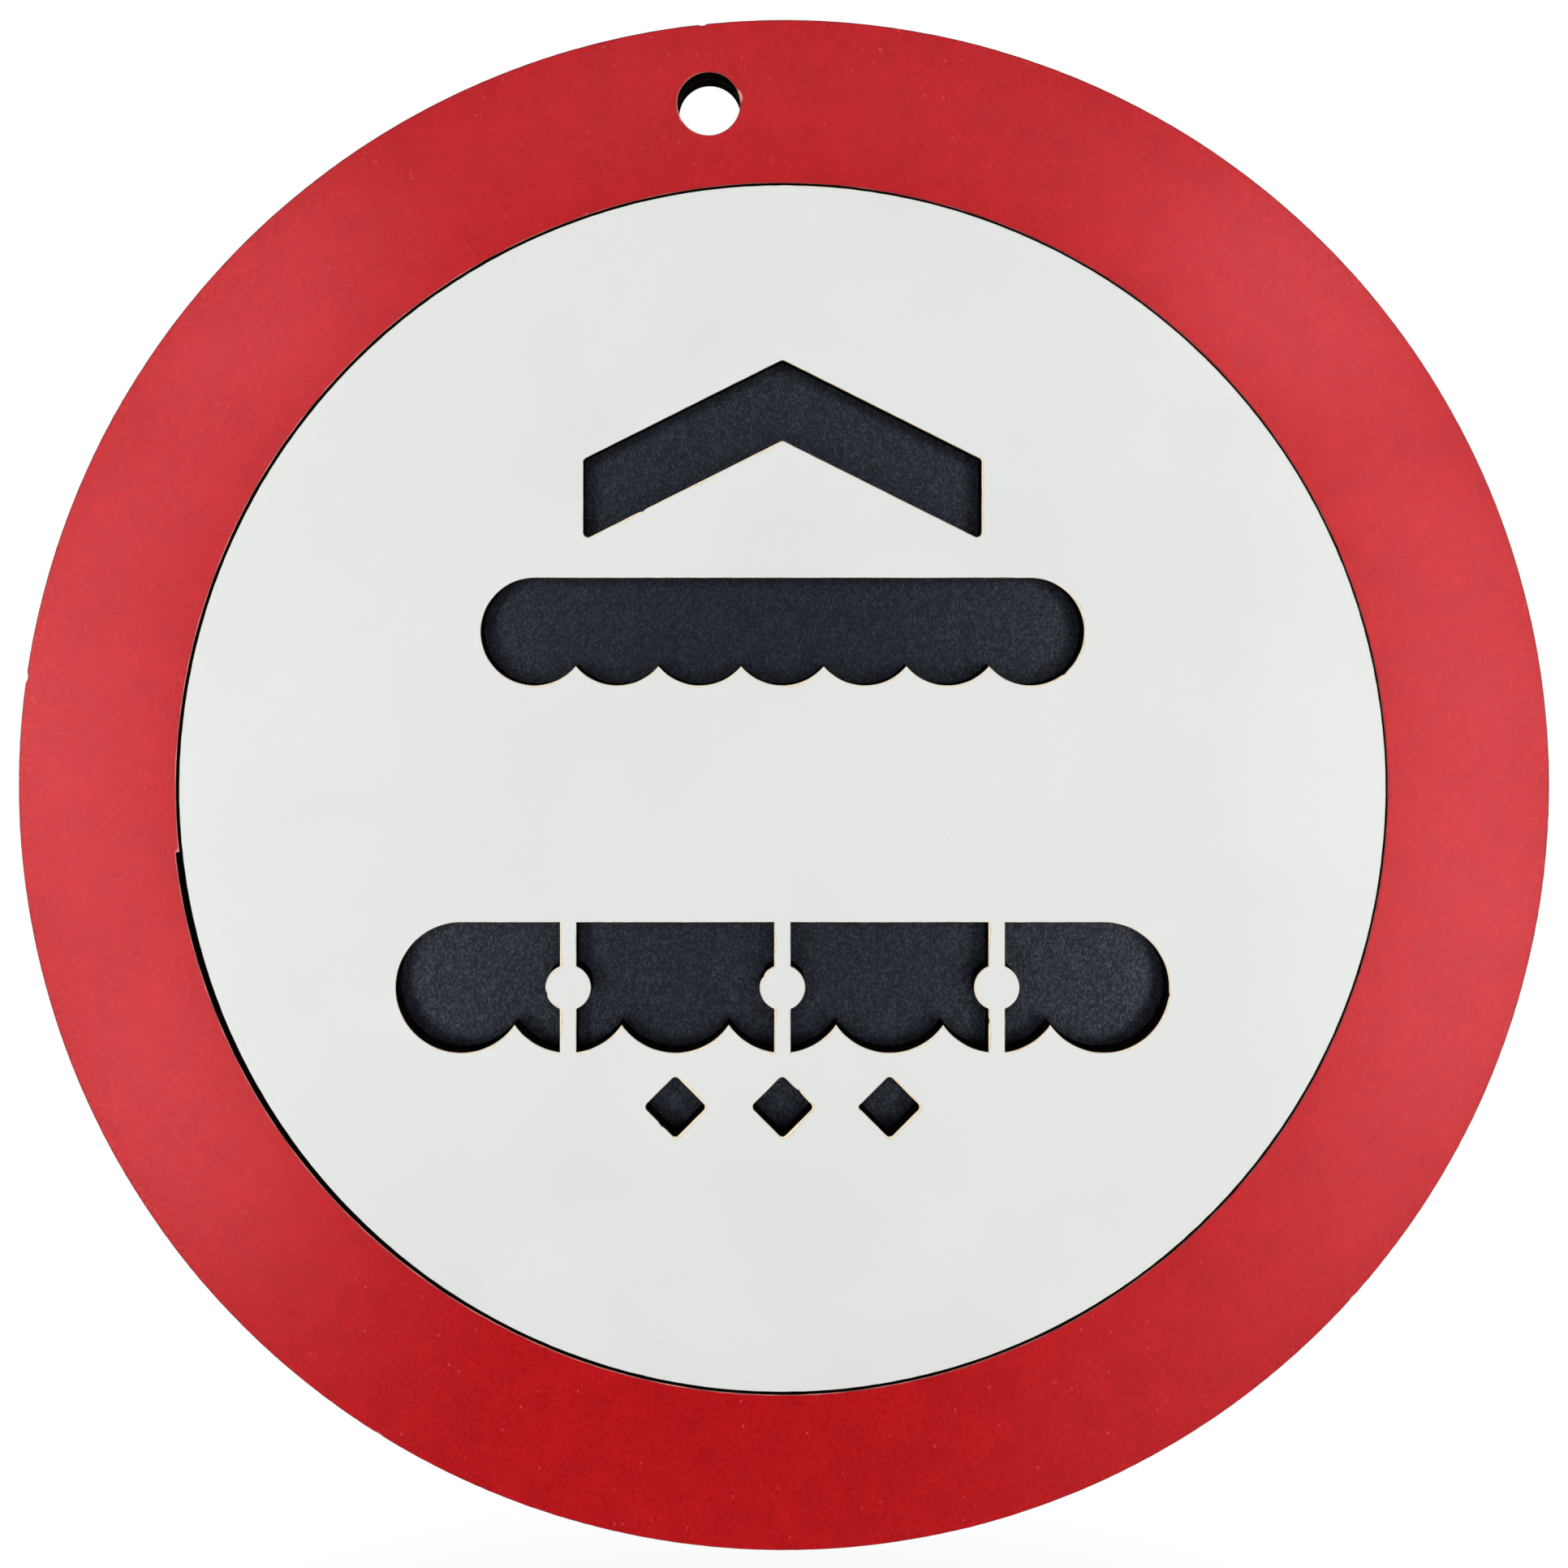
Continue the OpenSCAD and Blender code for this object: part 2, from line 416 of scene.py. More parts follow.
# %% Distance from the cuts
def beside_cuts(points, outlines):
    """For each point its distance from the nearest cut, the number of the outline point that is
    nearest, and whether the point lies in the board. The foot of the perpendicular on an edge from a
    to b is a + t (b - a) with t from 0 to 1. A point is inside where a ray crosses an odd number."""
    start = np.vstack(outlines)
    run = np.vstack([np.roll(outline, -1, 0) - outline for outline in outlines])
    distance, nearest, inside = [], [], []
    for part in np.array_split(points, max(1, len(points) // 400)):
        x, z = (part[:, None] - start).transpose(2, 0, 1)
        t = np.clip((x * run[:, 0] + z * run[:, 1]) / (run ** 2).sum(1), 0, 1)
        gap = np.hypot(x - t * run[:, 0], z - t * run[:, 1])
        distance.append(gap.min(1))
        nearest.append(gap.argmin(1))
        crossed = (z < 0) != (z - run[:, 1] < 0)
        beyond = x < run[:, 0] * z / np.where(run[:, 1] == 0, 1, run[:, 1])
        inside.append((crossed & beyond).sum(1) % 2 == 1)
    return np.concatenate(distance), np.concatenate(nearest), np.concatenate(inside)


def grid_points(outline, spacing):
    """Points in staggered rows over the outline's box, the rows sqrt(3)/2 of the spacing apart."""
    low, high = outline.min(0), outline.max(0)
    x, z = np.meshgrid(np.arange(low[0], high[0], spacing),
                       np.arange(low[1], high[1], spacing * math.sqrt(3) / 2))
    x[1::2] += spacing / 2
    return np.column_stack((x.ravel(), z.ravel()))


bands = np.array([0.12, 0.28, 0.48, 0.78]) * mm


def face_points(outlines, spacing):
    """Points inside a face: the bands beside its outlines, and the grid where it is further away. It
    also gives each point's distance from the cuts and the number of its nearest outline point."""
    moved = [outline + band * into_board(outline) for band in bands for outline in outlines]
    grid = grid_points(outlines[0], spacing)
    on_outlines = sum(map(len, outlines))
    least = np.append(np.repeat(0.93 * bands, on_outlines),
                      np.full(len(grid), bands[-1] + 0.25 * spacing))
    points = np.vstack((*moved, grid))
    gap, nearest, inside = beside_cuts(points, outlines)
    kept = inside & (gap > least)
    return points[kept], gap[kept], nearest[kept]


print("grid points over the panel:", len(grid_points(panel_outlines[0], 1.6 * mm)))


# %% Triangles of a face
def triangles(rings, inner):
    """Delaunay triangles between closed rings of points, with loose inner points between them. They
    run anticlockwise as seen from the front. A triangle with all its corners on one ring lies in the
    board if it runs anticlockwise in the ring's own order, and otherwise it fills a hole and goes."""
    points = np.vstack([*rings, inner])
    sizes = [len(ring) for ring in rings]
    starts = np.cumsum([0] + sizes)
    edges = np.vstack([np.column_stack((np.arange(a, b), np.append(np.arange(a + 1, b), a)))
                       for a, b in zip(starts, starts[1:])])
    whole_hull = 0
    made = delaunay_2d_cdt((points / mm).tolist(), edges.tolist(), [], whole_hull, 1e-6)
    if len(made[0]) != len(points):
        raise ValueError(f"two outline points met: {len(points)} points became {len(made[0])}")
    faces = np.sort(np.array(made[2]), 1)
    a, b, c = points[faces].transpose(1, 2, 0)
    clockwise = (b[0] - a[0]) * (c[1] - a[1]) < (b[1] - a[1]) * (c[0] - a[0])
    ring_of = np.append(np.repeat(np.arange(len(rings)), sizes), -1 - np.arange(len(inner)))[faces]
    in_hole = clockwise & (ring_of == ring_of[:, :1]).all(1)
    faces[clockwise] = faces[clockwise][:, ::-1]
    return faces[~in_hole]


print("triangles across the backing board's back:", len(triangles(board_outlines, np.empty((0, 2)))))

# %% [markdown]
# ## A board
#
# One function now makes any of the three boards: the walls are the profile rows joined into squares,
# and the two faces close them. It also stores what the finishes read later: the distance from the cut,
# how pale the edge has flaked, how far the heat has browned the facing, and a map that runs along
# each wall and through its depth.

# %% Mesh of a board
FACE, WALL, BACK = 0, 1, 2
smooth_below = math.radians(32)


def nowhere(outline, draws):
    """No mark anywhere along an outline."""
    return np.zeros(len(outline))


def join_rows(rows, first):
    """Squares between neighbouring rows of a closed profile, whose points are numbered from first."""
    number = first + np.arange(rows.shape[0] * rows.shape[1]).reshape(rows.shape[:2])
    beside = np.roll(number, -1, 1)
    return number, np.stack((number[:-1], beside[:-1], beside[1:], number[1:]), -1).reshape(-1, 4)


def wall_map(rows, outline):
    """For each corner of those squares its distance along the outline and its depth."""
    s, y = lengths_along(outline), rows[:, :, 1]
    along = np.broadcast_to(np.stack((s[:-1], s[1:], s[1:], s[:-1]), -1), (len(rows) - 1, len(outline), 4))
    beside = np.roll(y, -1, 1)
    depth = np.stack((y[:-1], beside[:-1], beside[1:], y[1:]), -1)
    return np.stack((along, depth), -1).reshape(-1, 2)


def board_mesh(name, outlines, back, front, flakes, spacing, seed, paleness=nowhere, browning=nowhere):
    """The walls of every outline, a front face with inner points and a plain back face."""
    draws = np.random.default_rng(seed)
    vertices, quads, finish, wall_uv, from_cut, pale, browned = [], [], [], [], [], [], []
    front_ring, back_ring, first = [], [], 0
    for outline in outlines:
        rows, from_wall, flaked = edge_rows(outline, back, front, flakes, draws)
        number, squares = join_rows(rows, first)
        vertices.append(rows.reshape(-1, 3))
        quads.append(squares)
        finish.append(np.where(np.arange(len(squares)) < WALL_ROWS * len(outline), WALL, FACE))
        wall_uv.append(wall_map(rows, outline))
        from_cut.append(from_wall.ravel())
        pale.append(np.maximum(flaked, paleness(outline, draws)))
        browned.append(browning(outline, draws))
        back_ring.append(number[0])
        front_ring.append(number[-1])
        first += number.size

    edge = np.vstack(vertices)[:, [0, 2]]
    inner, gap, nearest = face_points([edge[ring] for ring in front_ring], spacing)
    vertices = np.vstack((*vertices, np.insert(inner, 1, front, axis=1)))
    front_numbers = np.concatenate((*front_ring, first + np.arange(len(inner))))
    front_faces = front_numbers[triangles([edge[ring] for ring in front_ring], inner)]
    back_faces = np.concatenate(back_ring)[triangles([edge[ring] for ring in back_ring], inner[:0])]
    quads, caps = np.vstack(quads), np.vstack((front_faces, back_faces[:, ::-1]))
    finish += [np.full(len(front_faces), FACE), np.full(len(back_faces), BACK)]

    mesh = bpy.data.meshes.new(name)
    mesh.from_pydata(vertices.tolist(), [], quads.tolist() + caps.tolist())
    uv = np.vstack((*wall_uv, vertices[caps.ravel()][:, [0, 2]]))
    mesh.uv_layers.new(name="wall").data.foreach_set("uv", uv.astype(np.float32).ravel())
    profile_rows = len(rows)
    marks = {
        "from_cut": np.concatenate((*from_cut, gap + round_width)),
        "pale": np.concatenate([*(np.tile(p, profile_rows) for p in pale), np.concatenate(pale)[nearest]]),
        "browned": np.concatenate([*(np.tile(b, profile_rows) for b in browned),
                                   np.concatenate(browned)[nearest]]),
        "outside": np.arange(len(vertices)) < profile_rows * len(outlines[0]),
    }
    for key, values in marks.items():
        mesh.attributes.new(key, "FLOAT", "POINT").data.foreach_set("value", values.astype(np.float32))
    mesh.polygons.foreach_set("material_index", np.concatenate(finish).astype(np.int32))
    mesh.polygons.foreach_set("use_smooth", np.ones(len(mesh.polygons), bool))
    mesh.update()
    mesh.set_sharp_from_angle(angle=smooth_below)
    return mesh


def edges_left_open(mesh):
    """How many edges don't have exactly two faces."""
    corners = np.empty(len(mesh.loops), np.int32)
    mesh.loops.foreach_get("edge_index", corners)
    return int((np.bincount(corners, minlength=len(mesh.edges)) != 2).sum())


trial = board_mesh("trial", board_outlines, back_y, glue_y, [], 6 * mm, 1)
print("a trial board has", len(trial.polygons), "faces and", edges_left_open(trial), "open edges")
bpy.data.meshes.remove(trial)

# %% [markdown]
# ## Where the edges changed colour
#
# Round the ring's opening and the hanging hole, the beam lifted the red skin and its pale core shows
# as a hair-thin line, mostly on the left. On the white disc it scorched the facing instead: a cream
# and tan band, widest where a cell faces right or down, and round the small diamonds.


# %% Marks along the outlines
points_of_a_small_cut = 90
scorch_at_small_cuts, scorch_at_cells = 0.34, 0.20
least_scorch, most_scorch = 0.03, 0.55


def facing(outline, angle):
    """1 where the outline's own side of the cut faces that angle in degrees, and 0 from 90 away."""
    a = math.radians(angle)
    inward = into_board(outline)
    inward /= np.linalg.norm(inward, axis=1, keepdims=True)
    return np.clip(inward @ np.array([math.cos(a), math.sin(a)]), 0, 1)


def is_outer(outline, radius):
    """Whether this outline is a rim of that radius."""
    return len(outline) > 2 * math.pi * radius / step * 0.99


def pale_rims(outline, draws):
    """The pale core shows on the left of the ring's opening and of its hole, and hardly on the rim."""
    patches = 0.7 + 0.3 * ripple(outline, 6 * mm, draws)
    if is_outer(outline, board_radius):
        return 0.22 * patches * facing(outline, 90)
    left = np.maximum(facing(outline, 180), 0.8 * facing(outline, 225))
    return np.clip((0.25 + 0.75 * left) * patches, 0, 1)


def scorched(outline, draws):
    """Width of the browned band in millimetres: it grows towards the right and the lower right."""
    patches = 0.5 + 0.5 * ripple(outline, 5 * mm, draws)
    if is_outer(outline, panel_radius):
        return 0.08 * np.clip(patches, 0, 1) + 0.12 * reach_of(sliver, outline)
    most = scorch_at_small_cuts if len(outline) < points_of_a_small_cut else scorch_at_cells
    side = np.maximum(facing(outline, 0), 0.85 * facing(outline, -50))
    width = 0.08 + most * side * (0.45 + 0.75 * patches)
    return np.clip(width, least_scorch, most_scorch)


print("widest scorch beside the middle diamond:",
      scorched(panel_outlines[-2], np.random.default_rng(1)).max().round(2), "mm")

# %% [markdown]
# ## Finishes
#
# Each facing is a printed skin with a fine emboss. A picture could be wrapped on it, but noise that is
# worked out at each point of the object stays sharp at any distance, so every finish is built from
# noise on Object coordinates. One short helper adds a node and joins or sets its inputs.


# %% Node helpers
def colour(red, green, blue):
    """A screen colour from 0 to 255 as the linear values that shaders use: ((c + 0.055) / 1.055)^2.4,
    or c / 12.92 for the darkest."""
    c = np.array([red, green, blue]) / 255
    linear = np.where(c > 0.04045, ((c + 0.055) / 1.055) ** 2.4, c / 12.92)
    return (*linear.tolist(), 1.0)


def give(tree, node, key, value):
    """Joins a socket to one of the node's inputs, or sets a plain value on it."""
    if isinstance(value, bpy.types.NodeSocket):
        tree.links.new(value, node.inputs[key])
    else:
        node.inputs[key].default_value = value


def add(tree, kind, inputs=None, **options):
    """Adds a node with these options, and gives it its inputs."""
    node = tree.nodes.new("ShaderNode" + kind)
    for key, value in options.items():
        setattr(node, key, value)
    for key, value in (inputs or {}).items():
        give(tree, node, key, value)
    return node


def noise(tree, where, size, detail=2.0, roughness=0.5):
    """Noise from 0 to 1 whose features are about that size."""
    return add(tree, "TexNoise", {"Vector": where, "Scale": 1 / size, "Detail": detail,
                                  "Roughness": roughness}).outputs["Fac"]


def spread(tree, value, low, high, to_low=0.0, to_high=1.0):
    """Stretches the values from low to high over to_low to to_high, and holds the rest at the ends."""
    return add(tree, "MapRange", {"Value": value, "From Min": low, "From Max": high,
                                  "To Min": to_low, "To Max": to_high},
               interpolation_type="SMOOTHSTEP").outputs["Result"]


def sums(tree, operation, first, second):
    """One step of arithmetic on two values."""
    return add(tree, "Math", {0: first, 1: second}, operation=operation).outputs["Value"]


def mix(tree, share, first, second):
    """The first colour, and the second where share is 1."""
    share_at, first_at, second_at, result_at = 0, 6, 7, 2
    return add(tree, "Mix", {share_at: share, first_at: first, second_at: second},
               data_type="RGBA").outputs[result_at]


def stretched(tree, along):
    """Object coordinates divided by these three lengths, so a pattern grows along the longer ones."""
    where = add(tree, "TexCoord").outputs["Object"]
    return add(tree, "Mapping", {"Vector": where, "Scale": [1 / a for a in along]}).outputs["Vector"]


def mark(tree, key):
    """What the mesh stored at each point under that name."""
    return add(tree, "Attribute", attribute_name=key).outputs["Fac"]


def specks(tree, where, cell, size, share, seed):
    """Small round spots: 1 within size of the middle of a share of the cells."""
    moved = add(tree, "Mapping", {"Vector": where, "Location": (seed, seed, seed)}).outputs["Vector"]
    cells = add(tree, "TexVoronoi", {"Vector": moved, "Scale": 1 / cell, "Randomness": 1.0})
    chosen = add(tree, "SeparateColor", {"Color": cells.outputs["Color"]}).outputs["Red"]
    near = spread(tree, cells.outputs["Distance"], size / cell * 0.5, size / cell, 1.0, 0.0)
    return sums(tree, "MULTIPLY", near, sums(tree, "LESS_THAN", chosen, share))


def start_material(name):
    """A material that holds one Principled shader, with its node tree."""
    material = bpy.data.materials.new(name)
    material.use_nodes = True
    tree = material.node_tree
    tree.nodes.clear()
    shader = add(tree, "BsdfPrincipled")
    add(tree, "OutputMaterial", {"Surface": shader.outputs["BSDF"]})
    return material, tree, shader


def finish_surface(tree, shader, base, roughness, height, depth, level):
    """Joins a surface's colour, roughness and relief, and sets how strongly it reflects."""
    relief = add(tree, "Bump", {"Height": height, "Distance": depth, "Strength": 1.0})
    for key, value in (("Base Color", base), ("Roughness", roughness), ("Specular IOR Level", level),
                       ("Normal", relief.outputs["Normal"])):
        give(tree, shader, key, value)


print("lighter red as linear values:", [round(c, 3) for c in colour(185, 15, 21)[:3]])

# %% [markdown]
# The red skin has a fine leathery grain and shallow pits, which break up its glare, and pale dust in
# its grain. Its varnish is tinted, so the glare on it is pink rather than white. Its cut edge is either
# brown or, where it flaked, the pale core.


# %% Red facing
def red_facing():
    """Cloudy red with a fine grain, pale specks and a cut edge that follows the stored marks."""
    material, tree, shader = start_material("red_facing")
    even, upright = stretched(tree, (1, 1, 1)), stretched(tree, (1, 1, 1.5))
    clouds = noise(tree, even, 4 * mm, 3)
    grain = noise(tree, upright, 0.36 * mm, 3, 0.7)
    pits = noise(tree, even, 0.5 * mm, 2)
    tone = sums(tree, "ADD", sums(tree, "MULTIPLY", clouds, 0.3), sums(tree, "MULTIPLY", grain, 0.7))
    base = mix(tree, spread(tree, tone, 0.34, 0.66), colour(163, 7, 12), colour(185, 15, 21))
    fine = specks(tree, upright, 1.2 * mm, 0.16 * mm, 0.35, 1.7)
    large = specks(tree, upright, 5.5 * mm, 0.20 * mm, 0.30, 5.3)
    base = mix(tree, sums(tree, "MULTIPLY", fine, 0.4), base, colour(232, 110, 105))
    base = mix(tree, sums(tree, "MULTIPLY", large, 0.65), base, colour(238, 150, 138))
    rim = mix(tree, mark(tree, "pale"), colour(72, 14, 14), colour(226, 158, 150))
    at_rim = spread(tree, mark(tree, "from_cut"), 0.07 * mm, 0.13 * mm, 0.9, 0.0)
    base = mix(tree, at_rim, base, rim)
    roughness = spread(tree, pits, 0.3, 0.7, 0.24, 0.34)
    height = sums(tree, "ADD", pits, sums(tree, "MULTIPLY", grain, 0.4))
    give(tree, shader, "Specular Tint", (1.0, 0.24, 0.27, 1.0))
    finish_surface(tree, shader, base, roughness, height, 0.014 * mm, 0.60)
    return material


# %% [markdown]
# The white skin is smooth and only faintly cloudy, with a few grains of dust. Beside a cut the stored
# width of the scorch is compared with the distance from the cut: cream inside, then a tan line, and
# white beyond it.


# %% White facing
def white_facing():
    """White with grey dust, and scorched bands as wide as the mesh says."""
    material, tree, shader = start_material("white_facing")
    even = stretched(tree, (1, 1, 1))
    clouds = noise(tree, even, 22 * mm, 2)
    grain = noise(tree, even, 0.5 * mm, 2)
    base = mix(tree, spread(tree, clouds, 0.3, 0.7), colour(218, 220, 217), colour(221, 223, 220))
    dust = specks(tree, even, 8 * mm, 0.14 * mm, 0.22, 3.1)
    base = mix(tree, sums(tree, "MULTIPLY", dust, 0.45), base, colour(140, 140, 134))
    browned = sums(tree, "MAXIMUM", mark(tree, "browned"), 0.02)
    ragged = spread(tree, noise(tree, even, 0.5 * mm, 2), 0.3, 0.7, -0.25, 0.25)
    in_mm = sums(tree, "MULTIPLY", mark(tree, "from_cut"), 1 / mm)
    share = sums(tree, "ADD", sums(tree, "DIVIDE", in_mm, browned), ragged)
    strength = spread(tree, browned, 0.05, 0.30, 0.35, 1.0)
    cream = sums(tree, "MULTIPLY", spread(tree, share, 0.8, 1.1, 1.0, 0.0), strength)
    tan = sums(tree, "MULTIPLY", spread(tree, share, 0.55, 0.85), spread(tree, share, 0.85, 1.15, 1.0, 0.0))
    tan = sums(tree, "MULTIPLY", tan, sums(tree, "MULTIPLY", strength, 0.75))
    base = mix(tree, cream, base, colour(246, 234, 208))
    base = mix(tree, tan, base, colour(190, 158, 108))
    at_rim = spread(tree, mark(tree, "from_cut"), 0.02 * mm, 0.10 * mm, 0.7, 0.0)
    rim = mix(tree, mark(tree, "pale"), colour(120, 92, 62), colour(168, 158, 146))
    base = mix(tree, at_rim, base, rim)
    roughness = spread(tree, clouds, 0.3, 0.7, 0.34, 0.40)
    finish_surface(tree, shader, base, roughness, grain, 0.004 * mm, 0.30)
    return material


# %% [markdown]
# The black skin has a coarser emboss that shows more: each raised grain catches a little bluish light,
# and pale specks of dust lie on it.


# %% Black facing
def black_facing():
    """Blue-black with a bright grain and sparse pale dust."""
    material, tree, shader = start_material("black_facing")
    even, upright = stretched(tree, (1, 1, 1)), stretched(tree, (1, 1, 1.4))
    grain = noise(tree, upright, 0.24 * mm, 3, 0.7)
    pits = noise(tree, even, 0.9 * mm, 2)
    tone = sums(tree, "ADD", sums(tree, "MULTIPLY", grain, 0.6), sums(tree, "MULTIPLY", pits, 0.4))
    base = mix(tree, spread(tree, tone, 0.36, 0.66), colour(13, 14, 18), colour(28, 32, 43))
    fine = specks(tree, even, 0.6 * mm, 0.10 * mm, 0.25, 2.2)
    large = specks(tree, upright, 4.5 * mm, 0.12 * mm, 0.30, 7.4)
    base = mix(tree, sums(tree, "MULTIPLY", fine, 0.4), base, colour(96, 102, 120))
    base = mix(tree, sums(tree, "MULTIPLY", large, 0.7), base, colour(150, 150, 150))
    roughness = spread(tree, grain, 0.3, 0.7, 0.42, 0.30)
    height = sums(tree, "ADD", pits, grain)
    glint = spread(tree, grain, 0.45, 0.70, 0.20, 0.75)
    give(tree, shader, "Specular Tint", (0.78, 0.87, 1.0, 1.0))
    finish_surface(tree, shader, base, roughness, height, 0.035 * mm, glint)
    return material


# %% [markdown]
# The wall of a laser cut is charred fibreboard: nearly black, with a fine ribbing through the
# thickness from the pulses of the beam, and browner streaks where it ran faster. This pattern follows
# the wall, so it is drawn on the map that runs along the cut. Only the outer rim keeps this browner
# char; the walls of the cut-outs and the holes are painted near-black, as painted shade in those recesses.


# %% Charred walls and the plain back
def charred_wall():
    """Near-black brown, ribbed along the cut, with its streaks running through the thickness."""
    material, tree, shader = start_material("charred_wall")
    wall = add(tree, "UVMap", uv_map="wall").outputs["UV"]
    through = add(tree, "Mapping", {"Vector": wall, "Scale": (1, 0.06, 1)}).outputs["Vector"]
    layers = add(tree, "Mapping", {"Vector": wall, "Scale": (0.08, 1, 1)}).outputs["Vector"]
    ribs = noise(tree, through, 0.16 * mm, 2, 0.6)
    streaks = noise(tree, through, 2.4 * mm, 3, 0.6)
    fibres = noise(tree, layers, 0.22 * mm, 3, 0.6)
    # Painted shade: the walls of the cut-outs, the hole and the ring's opening get near-black colours, and
    # only the outer rim of each board (the "outside" mark) keeps the browner char.
    outer_wall_unshaded = mark(tree, "outside")
    dark = mix(tree, outer_wall_unshaded, colour(9, 8, 8), colour(34, 26, 22))
    light = mix(tree, outer_wall_unshaded, colour(24, 17, 14), colour(96, 70, 52))
    fibre = mix(tree, outer_wall_unshaded, colour(44, 31, 24), colour(138, 104, 78))
    base = mix(tree, spread(tree, streaks, 0.35, 0.70), dark, light)
    base = mix(tree, spread(tree, fibres, 0.55, 0.80, 0.0, 0.6), base, fibre)
    base = mix(tree, spread(tree, ribs, 0.35, 0.6, 0.55, 0.0), base, colour(9, 8, 8))
    roughness = spread(tree, streaks, 0.3, 0.7, 0.90, 0.78)
    height = sums(tree, "ADD", ribs, sums(tree, "MULTIPLY", fibres, 0.4))
    finish_surface(tree, shader, base, roughness, height, 0.05 * mm, 0.0)
    return material


def plain_back():
    """The black sheet's other side: a duller grain with faint scuffs from the laser's table."""
    material, tree, shader = start_material("plain_back")
    even, across = stretched(tree, (1, 1, 1)), stretched(tree, (14, 1, 1))
    grain = noise(tree, even, 0.35 * mm, 3, 0.7)
    clouds = noise(tree, even, 18 * mm, 3)
    scuffs = sums(tree, "MULTIPLY", spread(tree, noise(tree, across, 0.8 * mm, 2), 0.66, 0.74),
                  spread(tree, noise(tree, even, 14 * mm, 1), 0.52, 0.66))
    base = mix(tree, spread(tree, grain, 0.35, 0.7), colour(20, 20, 23), colour(40, 41, 46))
    base = mix(tree, spread(tree, clouds, 0.4, 0.7, 0.0, 0.25), base, colour(58, 58, 60))
    base = mix(tree, sums(tree, "MULTIPLY", scuffs, 0.5), base, colour(120, 120, 122))
    roughness = spread(tree, clouds, 0.3, 0.7, 0.48, 0.60)
    finish_surface(tree, shader, base, roughness, grain, 0.03 * mm, 0.22)
    return material


red, white, black = red_facing(), white_facing(), black_facing()
charred, rear = charred_wall(), plain_back()
print("finishes:", [finish.name for finish in (red, white, black, charred, rear)])

# %% [markdown]
# ## The three pieces
#
# Each board replaces the plain solid of the same place in the frame, rides on its body and takes its
# finish. The red ring and the white panel share one plane, and the board
# behind them carries both.


# %% Making a piece
def place_board(name, mesh, facing_finish, node):
    """Puts a board's mesh in the scene, with its finishes, in the place of its solid."""
    piece = bpy.data.objects.new(name, mesh)
    bpy.context.scene.collection.objects.link(piece)
    for finish in (facing_finish, charred, rear):
        mesh.materials.append(finish)
    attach(piece, "root")
    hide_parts(node)
    print(f"{name}: {len(mesh.vertices)} points, {edges_left_open(mesh)} open edges")


# %% Backing board
place_board(
    "black_backing_board",
    board_mesh("black_backing_board", board_outlines, back_y, glue_y, board_flakes, 3 * mm, 11),
    black, "backing_board")

# %% Red ring
place_board(
    "red_ring_sheet",
    board_mesh("red_ring_sheet", ring_outlines, glue_y, front_y, ring_flakes, 1.6 * mm, 12,
               paleness=pale_rims),
    red, "red_ring")

# %% White stencil panel
place_board(
    "white_stencil_panel",
    board_mesh("white_stencil_panel", panel_outlines, glue_y, front_y, panel_flakes, 1.6 * mm, 13,
               browning=scorched),
    white, "white_panel")

# %% [markdown]
# The outlines were worked out here by formula, so it is worth a check that they agree with the solids
# of the frame. Every corner of a solid's front face should lie on one of the outlines.


# %% Check against the frame
def front_corners(node, y):
    """The (x, z) of a solid's points that lie in the plane y."""
    data = frame["nodes"][node].data
    points = np.empty(len(data.vertices) * 3)
    data.vertices.foreach_get("co", points)
    points = points.reshape(-1, 3)
    return points[np.abs(points[:, 1] - y) < 1e-6][:, [0, 2]]


for node, outlines, y in (("backing_board", board_outlines, glue_y), ("red_ring", ring_outlines, front_y),
                          ("white_panel", panel_outlines, front_y)):
    gap = beside_cuts(front_corners(node, y), outlines)[0]
    print(f"{node}: its corners lie within {gap.max() / mm:.3f} mm of the outlines")

# %% [markdown]
# ## Floor, light and camera
#
# The sign hangs free, so the floor lies well below it and only takes its soft shadow. Far out the
# floor turns plain white for the camera, and so does the world, because the photograph's ground is
# white. Mirrored rays see that white too, but only behind the sign: the room in front is dim, or the
# red varnish would mirror it and pale the bottom of the ring.

# %% Floor
floor_z = -0.30
floor_size = 4.0
fade_starts, fade_ends = 0.14, 0.34
least_white = 0.55
floor_mesh = bpy.data.meshes.new("floor")
half = floor_size / 2
floor_mesh.from_pydata([(-half, -half, floor_z), (half, -half, floor_z),
                        (half, half, floor_z), (-half, half, floor_z)], [], [(0, 1, 2, 3)])
floor = bpy.data.objects.new("floor", floor_mesh)
bpy.context.scene.collection.objects.link(floor)
paint = bpy.data.materials.new("floor_paint")
paint.use_nodes = True
tree = paint.node_tree
tree.nodes.clear()
place = add(tree, "TexCoord").outputs["Object"]
flat_place = add(tree, "VectorMath", {0: place, 1: (1, 1, 0)}, operation="MULTIPLY").outputs["Vector"]
far = spread(tree, add(tree, "VectorMath", {0: flat_place}, operation="LENGTH").outputs["Value"],
             fade_starts, fade_ends, least_white, 1.0)
seen = sums(tree, "MULTIPLY", add(tree, "LightPath").outputs["Is Camera Ray"], far)
matt = add(tree, "BsdfDiffuse", {"Color": (0.68, 0.68, 0.68, 1)}).outputs["BSDF"]
glow = add(tree, "Emission", {"Color": (1, 1, 1, 1), "Strength": 1.0}).outputs["Emission"]
both = add(tree, "MixShader", {0: seen, 1: matt, 2: glow}).outputs["Shader"]
add(tree, "OutputMaterial", {"Surface": both})
floor_mesh.materials.append(paint)
print("floor at z =", floor_z, "m")

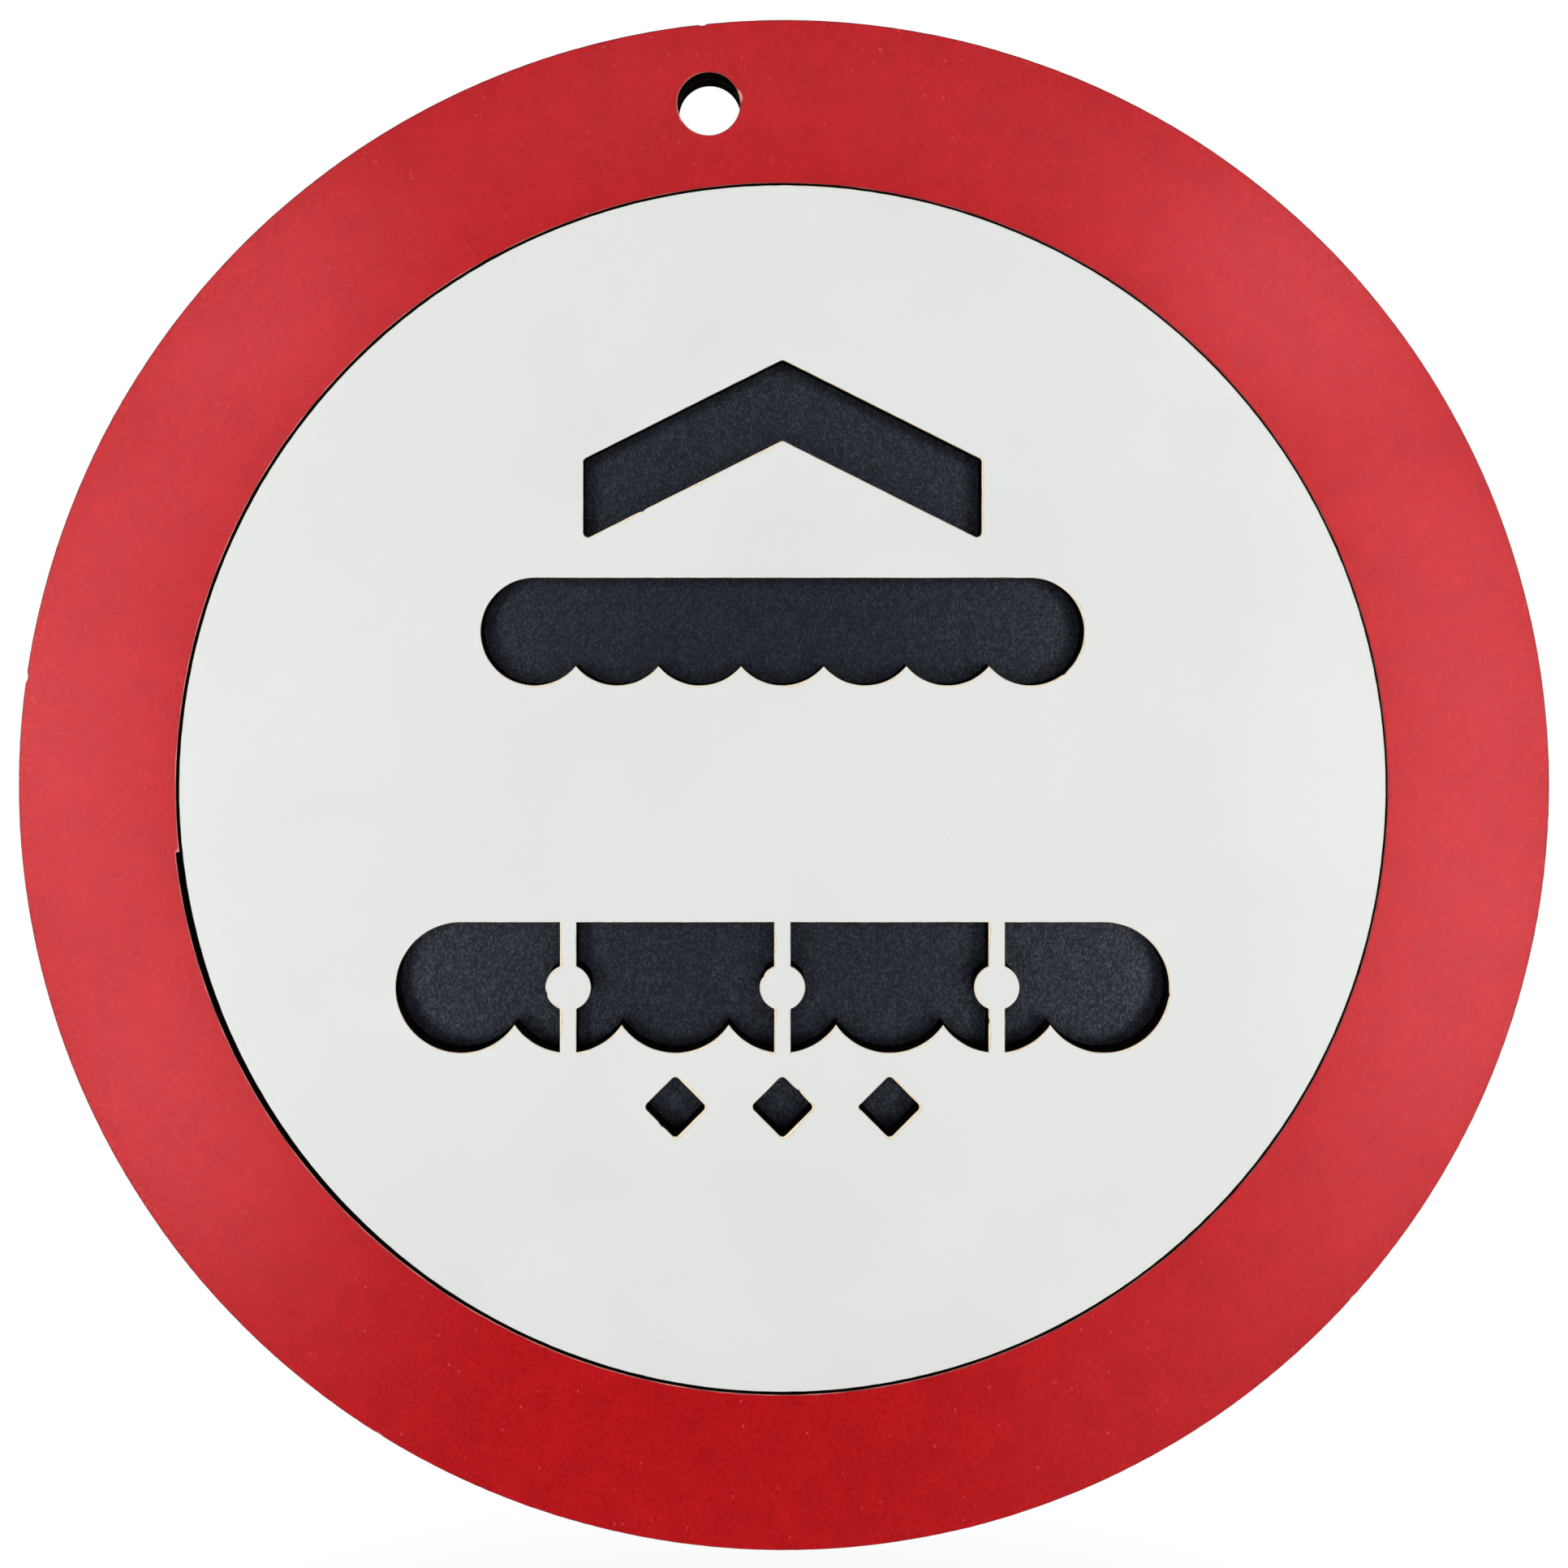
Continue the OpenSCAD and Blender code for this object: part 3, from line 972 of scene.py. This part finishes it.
# %% World
ambient_strength, backdrop_strength = 0.12, 1.0
world = bpy.data.worlds.new("studio")
bpy.context.scene.world = world
world.use_nodes = True
tree = world.node_tree
tree.nodes.clear()
rays = add(tree, "LightPath").outputs
direction = add(tree, "TexCoord").outputs["Generated"]
behind = spread(tree, add(tree, "SeparateXYZ", {"Vector": direction}).outputs["Y"], -0.1, 0.2)
mirrored = sums(tree, "MAXIMUM", rays["Is Glossy Ray"], rays["Is Transmission Ray"])
seen = sums(tree, "MAXIMUM", rays["Is Camera Ray"], sums(tree, "MULTIPLY", mirrored, behind))
ambient = add(tree, "Background", {"Color": (1, 1, 1, 1), "Strength": ambient_strength}).outputs["Background"]
backdrop = add(tree, "Background", {"Color": (1, 1, 1, 1),
                                    "Strength": backdrop_strength}).outputs["Background"]
sky = add(tree, "MixShader", {0: seen, 1: ambient, 2: backdrop}).outputs["Shader"]
add(tree, "OutputWorld", {"Surface": sky})
print("world: soft ambient light, and a white backdrop behind the sign")

# %% [markdown]
# The photograph looks straight at the sign from close by, a little above its middle, which is why the
# lower walls of the cut-outs show. The camera stands there, level, and shifts its picture instead of
# tilting, so the sign stays round.

# %% Camera
camera_x, camera_z = -3.8 * mm, 30 * mm
camera_distance = 195 * mm
view_width = 204.83 * mm
view_middle_x, view_middle_z = 0.02 * mm, 0.15 * mm
lens = bpy.data.cameras.new("camera")
lens.sensor_width = 36
lens.lens = lens.sensor_width * camera_distance / view_width
lens.shift_x = (view_middle_x - camera_x) / view_width
lens.shift_y = (view_middle_z - camera_z) / view_width
lens.clip_start = 0.01
camera = bpy.data.objects.new("camera", lens)
camera.location = (camera_x, front_y - camera_distance, camera_z)
camera.rotation_euler = (math.radians(90), 0, 0)
bpy.context.scene.collection.objects.link(camera)
bpy.context.scene.camera = camera
bpy.context.scene.view_settings.view_transform = "Standard"
print(f"lens {lens.lens:.1f} mm, shift {lens.shift_x:.4f}, {lens.shift_y:.4f}")

# %% [markdown]
# The photograph's glare runs along both sides of the ring in soft patches, fades towards the top and
# is gone at the bottom. So the softboxes stand on an arch round the camera that is open below, each
# where the ring mirrors it to the camera, and each as strong as the glare is there. A low box lifts
# the black in the lower cut-outs, and one behind lights the back.


# %% Lamps
def softbox(name, place, size, power):
    """A rectangular lamp that points at the sign's middle and isn't seen itself."""
    lamp = bpy.data.lights.new(name, "AREA")
    lamp.shape = "RECTANGLE"
    lamp.size, lamp.size_y = size
    lamp.energy = power
    holder = bpy.data.objects.new(name, lamp)
    holder.location = place
    holder.rotation_euler = (-Vector(place)).to_track_quat("-Z", "Y").to_euler()
    holder.visible_camera = False
    bpy.context.scene.collection.objects.link(holder)


arch_distance = 294 * mm
arch_angles = range(-60, 226, 15)
arch_powers = [0.025, 0.041, 0.082, 0.130, 0.114, 0.114, 0.062, 0.141, 0.041, 0.044,
               0.032, 0.048, 0.021, 0.109, 0.085, 0.069, 0.088, 0.101, 0.106, 0.033]
arch_box = (0.07, 0.07)
glare_radius = 93 * mm


def mirrored_in_ring(angle):
    """Where a lamp shows in the ring at that angle: the ray from the camera to a point p of the glare's
    circle goes on as p + k (p - camera), with k the lamp's distance from the sign over the camera's."""
    x, z = on_circle(board_middle, glare_radius, angle)
    k = arch_distance / camera_distance
    return x + k * (x - camera_x), front_y - arch_distance, z + k * (z - camera_z)


for angle, power in zip(arch_angles, arch_powers):
    softbox(f"arch {angle}", mirrored_in_ring(angle), arch_box, power)
softbox("low", (0.0, -0.28, -0.12), (0.30, 0.06), 0.05)
softbox("left edge", (-0.268, -0.30, -0.01), (0.02, 0.10), 0.105)
softbox("rear", (0.35, 0.55, 0.45), (0.4, 0.4), 1.5)
